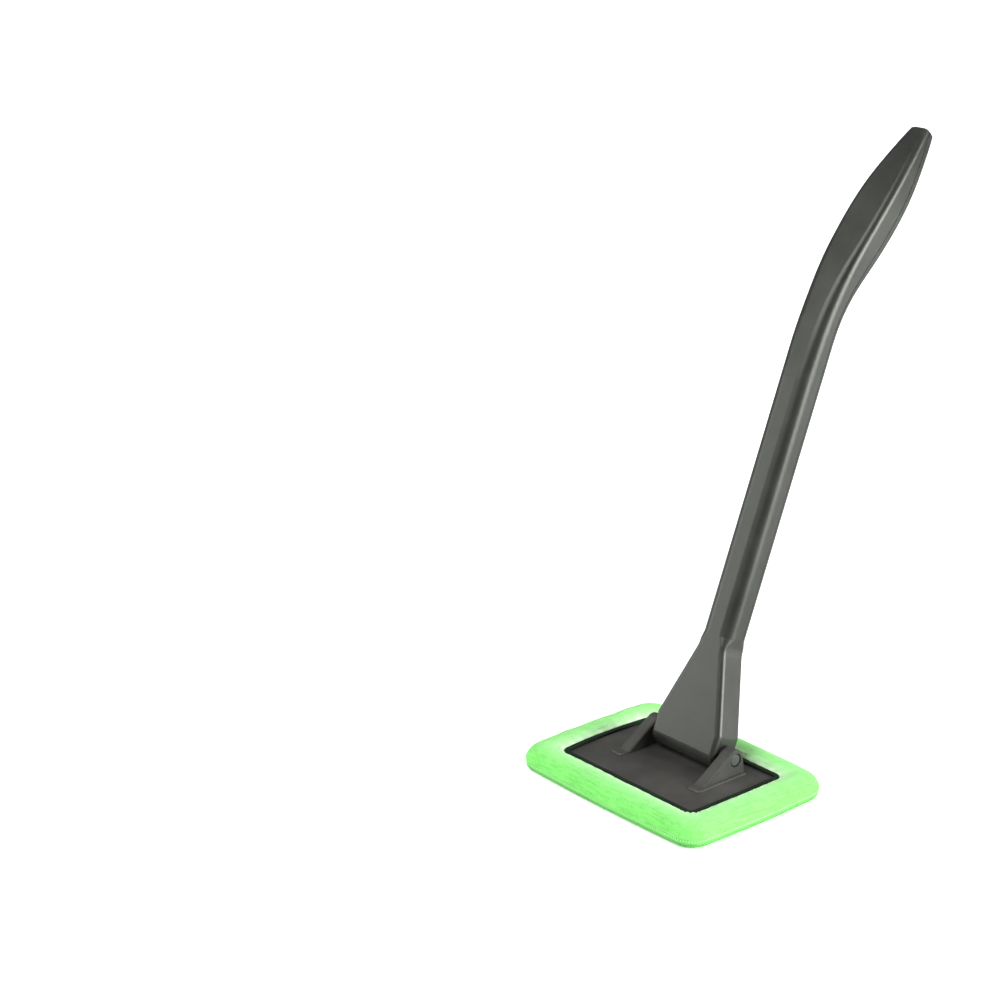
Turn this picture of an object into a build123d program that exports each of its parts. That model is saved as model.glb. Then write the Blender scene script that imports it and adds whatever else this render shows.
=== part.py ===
from build123d import *
import os
from math import acos, atan2, cos, radians, sin, sqrt

# Window scrubber: a stretched microfibre bonnet on a rigid plate, a friction pivot between two lugs,
# a flared yoke and a long hollow handle whose grip bends away and swells.
# Millimetres. The origin is the centre of the bonnet's flat working face, with +Z up from the glass.
# +X runs along the head's long side and the pivot, and the handle leans towards +Y.

# Head, seen from above
pad_length = 138.0
pad_width = 105.6
pad_corner_radius = 11.0
side_bow = 1.6
border_width = 18.2
opening_corner_radius = 5.0

# Head, layers from the glass upwards
face_thickness = 3.0
foam_thickness = 4.0
plate_thickness = 2.5
border_thickness = 3.8
side_thickness = 5.0
seam_height = 4.6
face_edge_radius = 3.6
border_edge_radius = 6.0
hem_edge_radius = 2.8

# Elastic edging of the opening, lying on the plate
elastic_width = 3.0
elastic_height = 1.6
elastic_edge = 0.5
elastic_gap = 0.15

# Plate
plate_edge = 0.8
rim_drop = 2.0
rim_thickness = 2.0
soft_gap = 0.3

# Lugs on the plate, one each side of the yoke, placed from the opening's back edge where the hem lies
lug_inner_face = 25.3
lug_thickness = 7.2
lug_radius = 5.8
lug_heel_from_hem = 10.6
lug_length = 35.0
lug_wall = 2.0
lug_boss_radius = 4.4
lug_edge = 0.6
foot_reach = 2.2
foot_height = 1.0

# Pivot
pivot_from_hem = 17.9
pivot_z = 19.0
lean = 21.22
pin_diameter = 4.0
pin_head_diameter = 7.0
pin_head_thickness = 1.6
pin_head_edge = 0.5
pin_fit = 0.03
running_fit = 0.05
cap_wall = 0.8
cap_length = 2.8
seat_gap = 0.3
washer_diameter = 10.0
washer_side_gap = 0.1

# Yoke, in the handle's own frame: Z runs from the pivot up the shaft, -Y is the handle's front
yoke_width = 47.4
yoke_depth = 18.0
barrel_radius = 9.1
yoke_shoulder_z = 9.5
yoke_shoulder_radius = 5.0
yoke_neck_z = 52.8
yoke_neck_width = 19.2
yoke_neck_radius = 16.0
yoke_collar_z = 55.6
yoke_top_z = 60.4
yoke_edge_radius = 2.9
barrel_end_chamfer = 1.4
yoke_wall = 3.2
pocket_floor = 3.0
pocket_corner_radius = 1.2

# Spigot of the handle in the yoke's socket
spigot_width = 13.4
spigot_thickness = 10.4
spigot_corner_radius = 2.8
spigot_length = 30.0
spigot_core_depth = 9.0
spigot_wall = 2.5
socket_fit = 0.15

# Screw that holds the spigot
screw_z = 39.0
screw_head_diameter = 6.2
screw_head_thickness = 1.5
screw_head_edge = 0.5
screw_diameter = 3.0
screw_length = 9.5
screw_bore_gap = 0.02
screw_recess_gap = 0.3
screw_recess_depth = 1.7
screw_slot_width = 0.9
screw_slot_depth = 0.6

# Handle
shaft_width = 20.9
shaft_thickness = 18.1
shaft_corner_radius = 6.6
shaft_length = 224.4
bend_radius = 138.0
bend_angle = 20.4
grip_length = 85.0
grip_width = 25.1
grip_thickness = 18.2
grip_corner_radius = 3.6
waist_thickness = 15.7
tip_width = 11.9
tip_thickness = 8.8
tip_corner_radius = 2.6
tip_bevel = 1.2
tip_taper_length = 64.0
neck_taper_length = 90.0
shell_wall = 2.2
cover_depth = 5.2
tip_solid_length = 28.0
base_wall = 4.0

# The seam between the two shells of the handle
tongue_height = 1.8
tongue_thickness = 0.9
tongue_gap = 0.15
reveal_width = 0.35
reveal_depth = 0.5

# Ribs inside the front shell
rib_count = 6
rib_thickness = 1.4
rib_first_z = 77.0
rib_hole_radius = 2.4
rib_clearance = 0.4
rib_bite = 0.6

# Recess on the back of the tip that hangs on a peg
hang_radius = 3.4
hang_depth = 4.5
hang_from_tip = 15.0

# One overrun serves every cut
overrun = 5.0

# How the handle swells, at even steps: along the neck from the shaft to the widest place, then to the tip.
# Along the neck the thickness falls from the shaft's to the waist's, and rises again to the grip's.
neck_width_shares = (0.0, 0.08, 0.16, 0.23, 0.345, 0.535, 0.755, 0.915)
neck_shaft_shares = (1.0, 0.72, 0.35, 0.08, 0.0, 0.0, 0.0, 0.0)
neck_grip_shares = (0.0, 0.0, 0.0, 0.0, 0.07, 0.33, 0.67, 0.92)
tip_swell_shares = (1.0, 0.985, 0.875, 0.655, 0.36, 0.0)

# Bevel of the hollow's corners, for each unit of the radius that the wall leaves them
inner_bevel_share = 0.6

# Heights that follow from the layers
foam_bottom = face_thickness
plate_bottom = foam_bottom + foam_thickness
plate_top = plate_bottom + plate_thickness
pad_height = plate_top + border_thickness

opening_length = pad_length - 2 * border_width
opening_width = pad_width - 2 * border_width
cavity_length = pad_length - 2 * side_thickness
cavity_width = pad_width - 2 * side_thickness
cavity_corner_radius = pad_corner_radius - side_thickness
plate_length = cavity_length - 2 * soft_gap
plate_width = cavity_width - 2 * soft_gap
plate_corner_radius = cavity_corner_radius - soft_gap

pivot_y = opening_width / 2 - pivot_from_hem
lug_heel_y = opening_width / 2 - lug_heel_from_hem
lug_toe_y = lug_heel_y - lug_length
lug_outer_face = lug_inner_face + lug_thickness
pin_radius = pin_diameter / 2
head_seat = lug_outer_face - pin_head_thickness - seat_gap
cap_seat = lug_outer_face - cap_length
spine_length = shaft_length + bend_radius * radians(bend_angle) + grip_length
straight_end = spine_length - tip_taper_length - neck_taper_length


def prism(outline, bottom, top):
    """An upright block on an outline, between two heights."""
    return Pos(0, 0, bottom) * extrude(outline, top - bottom)


def bowed_outline():
    """The bonnet's outline: four slightly bowed sides with rounded corners."""
    x, y = pad_length / 2, pad_width / 2
    cx, cy = x - side_bow, y - side_bow
    sides = (
        ThreePointArc((-cx, -cy), (0, -y), (cx, -cy))
        + ThreePointArc((cx, -cy), (x, 0), (cx, cy))
        + ThreePointArc((cx, cy), (0, y), (-cx, cy))
        + ThreePointArc((-cx, cy), (-x, 0), (-cx, -cy))
    )
    face = make_face(sides)
    return fillet(face.vertices(), pad_corner_radius)


def along_x(radius, start, end):
    """A cylinder about the pivot axis, from one X to another."""
    turned = Plane(origin=(start, 0, 0), x_dir=(0, 1, 0), z_dir=(1, 0, 0))
    return extrude(turned * Circle(radius), end - start)


def at_pivot(shape):
    """Moves a shape drawn about the origin to the pivot, without the lean."""
    return Pos(0, pivot_y, pivot_z) * shape


def in_pose(shape):
    """Moves a shape from the handle's own frame to its leaning place."""
    return Pos(0, pivot_y, pivot_z) * Rot(-lean, 0, 0) * shape


# Head


def bonnet_halves():
    """The working face below the rim seam, and the border that wraps over the plate above it."""
    outside = prism(bowed_outline(), 0, pad_height)
    outside = fillet(outside.edges().group_by(Axis.Z)[-1], border_edge_radius)
    outside = fillet(outside.edges().group_by(Axis.Z)[0], face_edge_radius)
    cavity = RectangleRounded(cavity_length, cavity_width, cavity_corner_radius)
    room = prism(cavity, foam_bottom, plate_top)
    mouth = prism(
        RectangleRounded(opening_length, opening_width, opening_corner_radius),
        plate_bottom,
        pad_height + overrun,
    )
    worn = outside - room - mouth
    crown = worn.faces().sort_by(Axis.Z)[-1]
    worn = fillet(crown.inner_wires()[0].edges(), hem_edge_radius)
    below = prism(Rectangle(pad_length + overrun, pad_width + overrun), -overrun, seam_height)
    return worn & below, worn - below


def hem_elastic():
    """The flat elastic ring sewn inside the opening's hem."""
    length = opening_length - 2 * elastic_gap
    width = opening_width - 2 * elastic_gap
    radius = opening_corner_radius - elastic_gap
    outline = RectangleRounded(length, width, radius) - RectangleRounded(
        length - 2 * elastic_width, width - 2 * elastic_width, radius - elastic_width
    )
    ring = prism(outline, plate_top, plate_top + elastic_height)
    return chamfer(ring.edges().group_by(Axis.Z)[-1], elastic_edge)


def foam_pad():
    """A flat foam pad inside the plate's rim."""
    inset = rim_thickness + soft_gap
    outline = RectangleRounded(
        plate_length - 2 * inset, plate_width - 2 * inset, plate_corner_radius - inset
    )
    return prism(outline, foam_bottom, plate_bottom)


def tangent_from(point, radius, side):
    """Where a line from a point touches a circle about the pivot, in (Y, Z)."""
    dy, dz = point[0] - pivot_y, point[1] - pivot_z
    reach = sqrt(dy * dy + dz * dz)
    angle = atan2(dz, dy) + side * acos(radius / reach)
    return (pivot_y + radius * cos(angle), pivot_z + radius * sin(angle))


def lug_outline(inset, floor):
    """The lug's side view: a long slope to the toe, a short one to the heel, round over the pin."""
    radius = lug_radius - inset
    toe = (lug_toe_y + 2 * inset, floor)
    heel = (lug_heel_y - inset, floor)
    toe_touch = tangent_from(toe, radius, -1)
    heel_touch = tangent_from(heel, radius, 1)
    top = (pivot_y, pivot_z + radius)
    outline = (
        Line(toe, toe_touch)
        + ThreePointArc(toe_touch, top, heel_touch)
        + Line(heel_touch, heel)
        + Line(heel, toe)
    )
    return make_face(outline)


def lug():
    """The +X lug: a gusset cored from below, a foot ledge, a bore and a sunk seat for the pin's head."""
    yz = Plane(origin=(0, 0, 0), x_dir=(0, 1, 0), z_dir=(1, 0, 0))
    floor = plate_top - plate_thickness / 2
    solid = Pos(lug_inner_face, 0, 0) * extrude(yz * lug_outline(0, floor), lug_thickness)
    profile = [e for e in solid.edges().filter_by(Plane.YZ) if e.center().Z > plate_top]
    solid = chamfer(profile, lug_edge)
    foot_width = lug_thickness + foot_reach
    foot_length = lug_heel_y - lug_toe_y + foot_reach
    foot = Pos(lug_inner_face + foot_width / 2, (lug_heel_y + lug_toe_y - foot_reach) / 2, 0) * prism(
        RectangleRounded(foot_width, foot_length, foot_reach), floor, plate_top + foot_height
    )
    foot = chamfer(foot.edges().group_by(Axis.Z)[-1], foot_height / 2)
    return solid + foot


def lug_core():
    """The hollow moulded into a lug from under the plate, round the pin's boss."""
    yz = Plane(origin=(0, 0, 0), x_dir=(0, 1, 0), z_dir=(1, 0, 0))
    outline = lug_outline(lug_wall, plate_bottom - overrun)
    core = Pos(lug_inner_face + lug_wall, 0, 0) * extrude(yz * outline, lug_thickness - 2 * lug_wall)
    return core - at_pivot(along_x(lug_boss_radius, lug_inner_face, lug_outer_face))


def head_plate():
    """The plate with its downturned rim and both lugs, one moulding."""
    slab = prism(
        RectangleRounded(plate_length, plate_width, plate_corner_radius), plate_bottom - rim_drop, plate_top
    )
    slab = chamfer(slab.edges().group_by(Axis.Z)[-1], plate_edge)
    under = prism(
        RectangleRounded(
            plate_length - 2 * rim_thickness,
            plate_width - 2 * rim_thickness,
            plate_corner_radius - rim_thickness,
        ),
        plate_bottom - rim_drop - overrun,
        plate_bottom,
    )
    right = lug()
    core = lug_core()
    plate = slab - under + right + mirror(right, about=Plane.YZ) - core - mirror(core, about=Plane.YZ)
    bore = at_pivot(along_x(pin_radius + pin_fit, -lug_outer_face - overrun, lug_outer_face + overrun))
    seat_radius = pin_head_diameter / 2 + seat_gap
    head_pocket = at_pivot(along_x(seat_radius, head_seat, lug_outer_face + overrun))
    cap_pocket = at_pivot(along_x(seat_radius, -lug_outer_face - overrun, -cap_seat))
    return plate - bore - head_pocket - cap_pocket


# Pivot


def pivot_pin():
    """A plain pin with a low bevelled head, sunk in the +X lug."""
    shank = along_x(pin_radius, -lug_outer_face + cap_wall + seat_gap, head_seat + pin_head_thickness / 2)
    head = along_x(pin_head_diameter / 2, head_seat, head_seat + pin_head_thickness)
    rim = head.edges().filter_by(GeomType.CIRCLE).sort_by(Axis.X)[-1]
    return at_pivot(shank + chamfer(rim, pin_head_edge))


def pin_cap():
    """The cap pressed on the pin's tail, sunk in the -X lug."""
    outside = -lug_outer_face + seat_gap
    cap = along_x(pin_head_diameter / 2, outside, -cap_seat)
    rim = cap.edges().filter_by(GeomType.CIRCLE).sort_by(Axis.X)[0]
    hollow = along_x(pin_radius + pin_fit, outside + cap_wall, -cap_seat + overrun)
    return at_pivot(chamfer(rim, pin_head_edge) - hollow)


def friction_washer(side):
    """The rubber washer that is squeezed between the yoke's end and a lug."""
    inner = yoke_width / 2 + washer_side_gap
    outer = lug_inner_face - washer_side_gap
    washer = along_x(washer_diameter / 2, inner, outer) - along_x(pin_radius + pin_fit, 0, outer + overrun)
    washer = at_pivot(washer)
    return washer if side > 0 else mirror(washer, about=Plane.YZ)


# Yoke


def yoke_slope():
    """How far each side of the yoke runs in, per length, from the shoulders to the neck."""
    return (yoke_width - yoke_neck_width) / 2 / (yoke_neck_z - yoke_shoulder_z)


def yoke_blank():
    """The yoke's front view, upright by the pin and running in to the neck, with all long edges rounded."""
    half, neck = yoke_width / 2, yoke_neck_width / 2
    right = [(half, yoke_shoulder_z), (neck, yoke_neck_z), (neck, yoke_collar_z)]
    left = [(-x, z) for x, z in reversed(right)]
    view = make_face(Polyline((-half, -barrel_radius), (half, -barrel_radius), *right, *left, close=True))
    view = fillet(view.vertices().group_by(Axis.Y)[2], yoke_neck_radius)
    view = fillet(view.vertices().group_by(Axis.Y)[1], yoke_shoulder_radius)
    wall = Plane(origin=(0, 0, 0), x_dir=(1, 0, 0), z_dir=(0, -1, 0))
    blank = extrude(wall * view, yoke_depth / 2, both=True)
    front_and_back = blank.edges().group_by(Axis.Y)
    sides = [e for e in front_and_back[0] + front_and_back[-1] if abs(e.center().X) > yoke_wall]
    return fillet(sides, yoke_edge_radius)


def yoke_pocket():
    """The triangular hollow in the back of one wing, beside the socket."""
    inner = spigot_width / 2 + socket_fit + yoke_wall
    low = yoke_shoulder_z + pocket_floor
    slope = yoke_slope()
    outer = yoke_width / 2 - slope * (low - yoke_shoulder_z) - yoke_wall * sqrt(1 + slope * slope)
    high = low + (outer - inner) / slope
    front = pocket_floor - yoke_depth / 2
    wall = Plane(origin=(0, front, 0), x_dir=(1, 0, 0), z_dir=(0, -1, 0))
    corners = Polyline((inner, low), (outer, low), (inner, high), close=True)
    rounded = fillet(make_face(corners).vertices(), pocket_corner_radius)
    return extrude(wall * rounded, -yoke_depth)


def yoke():
    """The flared yoke: round foot below, collar and socket above, hollowed behind."""
    barrel = along_x(barrel_radius, -yoke_width / 2, yoke_width / 2)
    barrel = chamfer(barrel.edges().filter_by(GeomType.CIRCLE), barrel_end_chamfer)
    upper = prism(Rectangle(yoke_width + overrun, yoke_depth + overrun), 0, yoke_top_z)
    body = yoke_blank() & (barrel + upper)
    lower_ring = RectangleRounded(yoke_neck_width, yoke_depth, yoke_edge_radius)
    upper_ring = RectangleRounded(shaft_width, shaft_thickness, shaft_corner_radius)
    body += loft([Pos(0, 0, yoke_collar_z) * lower_ring, Pos(0, 0, yoke_top_z) * upper_ring], ruled=True)
    socket = prism(
        RectangleRounded(
            spigot_width + 2 * socket_fit,
            spigot_thickness + 2 * socket_fit,
            spigot_corner_radius + socket_fit,
        ),
        yoke_top_z - spigot_length - socket_fit,
        yoke_top_z + overrun,
    )
    pocket = yoke_pocket()
    bore = along_x(pin_radius + running_fit, -yoke_width, yoke_width)
    body = body - socket - pocket - mirror(pocket, about=Plane.YZ) - bore
    seat = screw_seat_y()
    recess = along_y(screw_head_diameter / 2 + screw_recess_gap, seat, seat + overrun)
    hole = along_y(screw_diameter / 2 + screw_bore_gap, 0, seat + overrun)
    return body - recess - hole


def screw_seat_y():
    """Where the screw's head sits, sunk in the yoke's back."""
    return yoke_depth / 2 - screw_recess_depth


def along_y(radius, start, end):
    """A cylinder on the screw's line, from one Y to another, in the handle's own frame."""
    turned = Plane(origin=(0, start, screw_z), x_dir=(1, 0, 0), z_dir=(0, 1, 0))
    return extrude(turned * Circle(radius), end - start)


def neck_screw():
    """A slotted pan-head screw, with a plain shank for its thread."""
    seat = screw_seat_y()
    shank = along_y(screw_diameter / 2, seat - screw_length, seat + screw_head_thickness / 2)
    head = along_y(screw_head_diameter / 2, seat, seat + screw_head_thickness)
    rim = head.edges().filter_by(GeomType.CIRCLE).sort_by(Axis.Y)[-1]
    head = chamfer(rim, screw_head_edge)
    slot_top = seat + screw_head_thickness
    slot = Pos(0, slot_top, screw_z) * Box(screw_head_diameter, 2 * screw_slot_depth, screw_slot_width)
    return shank + head - slot


# Handle


def spine(s):
    """Position (Y, Z) and direction angle of the handle's centre line, s from the pivot."""
    if s <= shaft_length:
        return 0.0, s, 0.0
    turn = min((s - shaft_length) / bend_radius, radians(bend_angle))
    y = bend_radius * (1 - cos(turn))
    z = shaft_length + bend_radius * sin(turn)
    past = s - shaft_length - bend_radius * turn
    return y + past * sin(turn), z + past * cos(turn), turn


def across(s):
    """The plane across the handle at s, with its Y towards the handle's back."""
    y, z, turn = spine(s)
    return Plane(origin=(0, y, z), x_dir=(1, 0, 0), z_dir=(0, sin(turn), cos(turn)))


def stations():
    """(s, width, thickness, corner radius) from the end of the straight shaft to the tip."""
    rows = []
    neck = list(zip(neck_width_shares, neck_shaft_shares, neck_grip_shares))
    for n, (swell, shaft, grip) in enumerate(neck):
        rows.append((
            straight_end + n * neck_taper_length / len(neck),
            shaft_width + swell * (grip_width - shaft_width),
            waist_thickness
            + shaft * (shaft_thickness - waist_thickness)
            + grip * (grip_thickness - waist_thickness),
            shaft_corner_radius + swell * (grip_corner_radius - shaft_corner_radius),
        ))
    step = (tip_taper_length - tip_bevel) / (len(tip_swell_shares) - 1)
    for n, swell in enumerate(tip_swell_shares):
        rows.append((
            spine_length - tip_taper_length + n * step,
            tip_width + swell * (grip_width - tip_width),
            tip_thickness + swell * (grip_thickness - tip_thickness),
            tip_corner_radius + swell * (grip_corner_radius - tip_corner_radius),
        ))
    return rows


def station_at(s):
    """The section at any place, in proportion between the stations on its two sides."""
    rows = stations()
    if s <= rows[0][0]:
        return (s,) + rows[0][1:]
    for low, high in zip(rows, rows[1:]):
        if s <= high[0]:
            share = (s - low[0]) / (high[0] - low[0])
            return (s,) + tuple(a + share * (b - a) for a, b in zip(low[1:], high[1:]))
    return rows[-1]


def section(station, inset):
    """A section of the handle drawn in by an inset: round corners outside, bevelled ones inside the wall."""
    s, width, thickness, radius = station
    if inset == 0:
        return across(s) * RectangleRounded(width, thickness, radius)
    outline = Rectangle(width - 2 * inset, thickness - 2 * inset)
    return across(s) * chamfer(outline.vertices(), inner_bevel_share * (radius - inset))


def handle_body(inset, start, end):
    """The handle's form drawn in by an inset, from a place on the shaft to one near the tip."""
    rows = [r for r in stations() if r[0] < end] + [station_at(end)]
    straight = extrude(section(station_at(start), inset), straight_end - start)
    return straight + loft([section(row, inset) for row in rows])


def rear_region(depth):
    """Everything behind a line that runs a given depth ahead of the handle's back face."""
    points = []
    for s, _, thickness, _ in stations():
        y, z, turn = spine(s)
        back = thickness / 2 - depth
        points.append((y + back * cos(turn), z - back * sin(turn)))
    heading = (sin(radians(bend_angle)), cos(radians(bend_angle)))
    bottom = (points[0][0], -grip_width)
    top = (points[-1][0] + grip_width * heading[0], points[-1][1] + grip_width * heading[1])
    far = top[0] + grip_width
    outline = (
        Line(bottom, points[0])
        + Spline(*points, tangents=((0, 1), heading))
        + Line(points[-1], top)
        + Line(top, (far, top[1]))
        + Line((far, top[1]), (far, bottom[1]))
        + Line((far, bottom[1]), bottom)
    )
    yz = Plane(origin=(0, 0, 0), x_dir=(0, 1, 0), z_dir=(1, 0, 0))
    return extrude(yz * make_face(outline), grip_width, both=True)


def tip_end():
    """The bevelled end of the tip."""
    wide = stations()[-1]
    low = across(wide[0]) * RectangleRounded(wide[1], wide[2], wide[3])
    high = across(spine_length) * RectangleRounded(
        wide[1] - 2 * tip_bevel, wide[2] - 2 * tip_bevel, wide[3] - tip_bevel / 2
    )
    return loft([low, high], ruled=True)


def spigot():
    """The tongue at the foot of the front shell that the yoke's socket takes."""
    foot = yoke_top_z - spigot_length
    solid = prism(RectangleRounded(spigot_width, spigot_thickness, spigot_corner_radius), foot, yoke_top_z)
    core = prism(
        RectangleRounded(
            spigot_width - 2 * spigot_wall, spigot_thickness - 2 * spigot_wall, spigot_corner_radius / 2
        ),
        foot - overrun,
        foot + spigot_core_depth,
    )
    screw_end = screw_seat_y() - screw_length
    screw_bore = along_y(screw_diameter / 2 + screw_bore_gap, screw_end - screw_bore_gap, spigot_thickness)
    return solid - core - screw_bore


def ribs():
    """Cross webs in the front shell, each with a round hole, kept clear of the rear shell's tongue."""
    last = spine_length - tip_solid_length - neck_taper_length / 4
    step = (last - rib_first_z) / (rib_count - 1)
    behind = rear_region(cover_depth + tongue_height + rib_clearance)
    webs = None
    for n in range(rib_count):
        s = rib_first_z + n * step
        web = extrude(section(station_at(s), shell_wall - rib_bite), rib_thickness)
        hole = extrude(across(s - rib_thickness) * Circle(rib_hole_radius), 3 * rib_thickness)
        web = web - behind - hole
        webs = web if webs is None else webs + web
    return webs


def handle_shells():
    """The front shell with spigot and ribs, and the rear cover with its tongue and hanging recess."""
    bevel_start = spine_length - tip_bevel
    whole = handle_body(0, yoke_top_z, bevel_start) + tip_end()
    hollow_start = yoke_top_z + base_wall
    hollow_end = spine_length - tip_solid_length
    hollow = handle_body(shell_wall, hollow_start, hollow_end)
    tongue_inset = shell_wall - tongue_thickness
    tongue_form = handle_body(tongue_inset, hollow_start - tongue_thickness, hollow_end + tongue_thickness)
    groove = tongue_thickness + tongue_gap
    groove_form = handle_body(shell_wall - groove, hollow_start - groove, hollow_end + groove)
    behind = rear_region(cover_depth)
    tongue_reach = rear_region(cover_depth + tongue_height)
    groove_reach = rear_region(cover_depth + tongue_height + tongue_gap)
    reveal_reach = rear_region(cover_depth + reveal_width)

    tongue = (tongue_form & tongue_reach) - hollow
    rear = (whole & behind) - hollow + tongue - hang_recess()

    skin = whole - handle_body(reveal_depth, yoke_top_z, bevel_start)
    front = whole - behind - hollow - (groove_form & groove_reach) - (skin & reveal_reach)
    front = front + ribs() + spigot()
    return front, rear


def hang_recess():
    """The blind round recess on the back of the tip."""
    s = spine_length - hang_from_tip
    y, z, turn = spine(s)
    back = station_at(s)[2] / 2
    direction = (0, cos(turn), -sin(turn))
    start = back - hang_depth
    floor = Plane(
        origin=(0, y + start * direction[1], z + start * direction[2]), x_dir=(1, 0, 0), z_dir=direction
    )
    return extrude(floor * Circle(hang_radius), hang_depth + overrun)


def save(shape, name):
    """Writes one sub-part."""
    export_step(shape, os.path.join("parts", name + ".step"))


os.makedirs("parts", exist_ok=True)

bonnet_face, bonnet_border = bonnet_halves()
front_shell, rear_shell = handle_shells()

save(bonnet_face, "bonnet_face")
save(bonnet_border, "bonnet_border")
save(hem_elastic(), "hem_elastic")
save(foam_pad(), "foam_pad")
save(head_plate(), "head_plate")
save(pivot_pin(), "pivot_pin")
save(pin_cap(), "pin_cap")
save(friction_washer(1), "friction_washer_right")
save(friction_washer(-1), "friction_washer_left")
save(in_pose(yoke()), "yoke")
save(in_pose(neck_screw()), "neck_screw")
save(in_pose(front_shell), "handle_front_shell")
save(in_pose(rear_shell), "handle_rear_shell")
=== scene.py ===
import math

import bpy
import numpy as np
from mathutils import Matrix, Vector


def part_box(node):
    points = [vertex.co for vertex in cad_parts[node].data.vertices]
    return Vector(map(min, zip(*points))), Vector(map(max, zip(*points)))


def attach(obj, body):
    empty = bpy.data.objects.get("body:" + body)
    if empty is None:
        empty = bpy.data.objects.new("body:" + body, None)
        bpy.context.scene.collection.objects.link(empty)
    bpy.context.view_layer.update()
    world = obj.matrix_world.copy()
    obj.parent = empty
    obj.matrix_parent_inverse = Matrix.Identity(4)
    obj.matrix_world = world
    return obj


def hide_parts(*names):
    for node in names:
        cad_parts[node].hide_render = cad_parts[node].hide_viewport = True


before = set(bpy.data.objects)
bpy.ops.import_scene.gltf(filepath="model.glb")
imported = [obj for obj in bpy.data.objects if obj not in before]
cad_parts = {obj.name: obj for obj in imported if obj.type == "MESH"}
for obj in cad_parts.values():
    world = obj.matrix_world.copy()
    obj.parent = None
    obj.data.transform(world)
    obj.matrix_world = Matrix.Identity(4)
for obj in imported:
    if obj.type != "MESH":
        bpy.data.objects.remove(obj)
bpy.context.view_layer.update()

# Window scrubber dressed for its portrait: terry microfibre bonnet, dark elastic hem, satin black plastic.
# Metres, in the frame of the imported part. Sizes that the part already has are read from its boxes.

mm = 0.001
white = (1.0, 1.0, 1.0)
borderLow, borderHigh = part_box("bonnet_border")
elasticLow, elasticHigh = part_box("hem_elastic")
foamLow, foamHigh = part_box("foam_pad")

# Camera at the photograph's viewing angle, with the part's origin this far to its right, up and ahead
view = dict(azimuth=49.64, pitch=19.56, focalPixels=2400, imagePixels=1000, sensorWidth=36.0,
            distance=1.3046, objectRight=0.09257, objectUp=-0.15276, farthest=50.0)


def placeCamera():
    az, pitch = math.radians(view["azimuth"]), math.radians(view["pitch"])
    ahead = np.array([-math.sin(az) * math.cos(pitch), math.cos(az) * math.cos(pitch), -math.sin(pitch)])
    right = np.array([math.cos(az), math.sin(az), 0])
    above = np.cross(right, ahead)
    data = bpy.data.cameras.new("portraitCamera")
    data.sensor_width = view["sensorWidth"]
    data.lens = view["focalPixels"] * view["sensorWidth"] / view["imagePixels"]
    data.clip_end = view["farthest"]
    camera = bpy.data.objects.new("portraitCamera", data)
    bpy.context.scene.collection.objects.link(camera)
    camera.location = -view["objectRight"] * right - view["objectUp"] * above - view["distance"] * ahead
    camera.rotation_euler = (math.radians(90) - pitch, 0, az)
    bpy.context.scene.camera = camera


placeCamera()
print("camera placed")


# Number fields on points, worked out for whole arrays at once

hashing = dict(weights=np.array([127.1, 311.7, 74.7]), seedStep=53.3, stretch=43758.5453)
seeds = dict(borderPile=1, wave=3, facePile=5, gather=7, faceWave=9, foamPile=21)
loopWander = 0.7  # share of its cell in which a loop may stand


def latticeHash(cells, seed):
    # One pseudo-random number from 0 to 1 for each whole-numbered cell: sine of a weighted sum, fraction kept
    mixed = np.sin(cells @ hashing["weights"] + seed * hashing["seedStep"]) * hashing["stretch"]
    return mixed - np.floor(mixed)


def pileField(points, pitch, seed):
    # Terry loops: each cell of a cubic lattice holds one loop near its middle, and a point's height is
    # one minus the squared distance to the nearest loop in pitches, never below 0
    scaled = points / pitch
    base = np.floor(scaled)
    nearest = np.ones(len(points))
    for offset in np.ndindex(3, 3, 3):
        cell = base + np.array(offset) - 1
        wander = np.stack([latticeHash(cell, seed + k) for k in (1, 2, 3)], 1)
        spot = cell + (1 - loopWander) / 2 + loopWander * wander
        nearest = np.minimum(nearest, ((scaled - spot) ** 2).sum(1))
    return 1 - nearest


def softField(points, size, seed):
    # Smooth unevenness: random values on a cubic lattice, blended with a smooth step along each axis, -1 to 1
    scaled = points / size
    base = np.floor(scaled)
    part = scaled - base
    part = part * part * (3 - 2 * part)
    total = np.zeros(len(points))
    for corner in np.ndindex(2, 2, 2):
        weight = np.prod(np.where(np.array(corner) == 1, part, 1 - part), axis=1)
        total += weight * latticeHash(base + np.array(corner), seed)
    return 2 * total - 1


def fadeIn(values, start, width):
    # 0 up to the start, then rising evenly to 1 over the width
    return np.clip((values - start) / width, 0, 1)


# Outlines and meshes

def roundedLoop(halfX, halfY, radius, bows, counts):
    # Four straight sides joined by quarter arcs, then each side is pushed out by its bow,
    # times one minus the square of the place along the side
    sideX, sideY, corner = counts
    cx, cy = halfX - radius, halfY - radius
    quarter = np.linspace(0, math.pi / 2, corner, endpoint=False)
    along = np.linspace(-1, 1, sideX, endpoint=False)
    upward = np.linspace(-1, 1, sideY, endpoint=False)

    def arc(x, y, start):
        return np.stack([x + radius * np.cos(start + quarter), y + radius * np.sin(start + quarter)], 1)

    loop = np.concatenate([
        np.stack([along * cx, np.full(sideX, -halfY)], 1), arc(cx, -cy, -math.pi / 2),
        np.stack([np.full(sideY, halfX), upward * cy], 1), arc(cx, cy, 0),
        np.stack([-along * cx, np.full(sideX, halfY)], 1), arc(-cx, cy, math.pi / 2),
        np.stack([np.full(sideY, -halfX), -upward * cy], 1), arc(-cx, -cy, math.pi),
    ])
    front, right, back, left = bows
    x, y = loop[:, 0] / halfX, loop[:, 1] / halfY
    bowX = np.where(x > 0, right, left) * x * (1 - y ** 2)
    bowY = np.where(y > 0, back, front) * y * (1 - x ** 2)
    return loop + np.stack([bowX, bowY], 1)


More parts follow.
